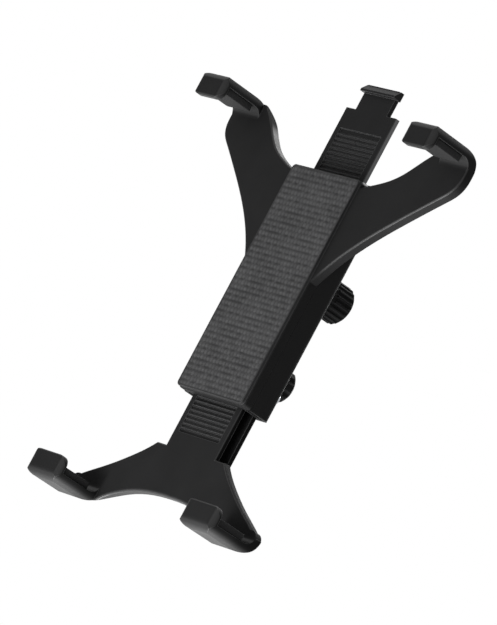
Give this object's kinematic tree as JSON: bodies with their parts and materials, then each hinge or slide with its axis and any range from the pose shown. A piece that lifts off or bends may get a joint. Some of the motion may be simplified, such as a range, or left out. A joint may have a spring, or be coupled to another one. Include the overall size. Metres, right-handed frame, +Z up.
{
  "type": "tablet holder",
  "caption": "Tablet holder: padded housing with curved upper arms, ribbed slider with a lower fork, padded claws, and a clamp socket and lock knob behind.",
  "frame": {"origin": "centre of the rear socket's mouth", "axes": "+Y out of the rear socket, away from the tablet; +Z up along the slider; the pad faces -Y"},
  "size_m": [0.1534, 0.0578, 0.1954],
  "materials": {
    "housing_plastic": "satin",
    "knob_plastic": "satin",
    "pad_rubber": "ribbed matt",
    "liner_foam": "matt",
    "zinc_steel": "zinc plated",
    "insert_brass": "turned"
  },
  "bodies": {
    "housing": {"front_housing": "housing_plastic", "rear_housing": "housing_plastic", "grip_pad": "pad_rubber", "upper_left_liner": "liner_foam", "upper_right_liner": "liner_foam", "socket_collet": "housing_plastic", "lock_insert": "insert_brass", "case_screws": "zinc_steel"},
    "slider": {"slider_bar": "housing_plastic", "lower_left_liner": "liner_foam", "lower_right_liner": "liner_foam"},
    "nut": {"ring_nut": "knob_plastic"},
    "shoe": {"pressure_shoe": "housing_plastic"},
    "knob": {"lock_knob": "knob_plastic", "lock_stud": "zinc_steel"}
  },
  "joints": [
    {"name": "slider_slide", "type": "slide", "parent": "housing", "child": "slider", "axis": [0, 0, 1], "range_m": [-0.036, 0.022]},
    {"name": "nut_turn", "type": "hinge", "parent": "housing", "child": "nut", "pos_m": [0, 0, 0], "axis": [0, 1, 0], "range_deg": [0, 540]},
    {"name": "shoe_slide", "type": "slide", "parent": "housing", "child": "shoe", "axis": [0, 1, 0], "range_m": [0, 0.0008]},
    {"name": "knob_turn", "type": "hinge", "parent": "shoe", "child": "knob", "pos_m": [0, -0.0096, -0.0396], "axis": [0, 1, 0], "range_deg": [0, 360]}
  ],
  "couplings": [
    {"joint": "knob_turn", "follows": "shoe_slide", "rad_per_m": 7854}
  ]
}
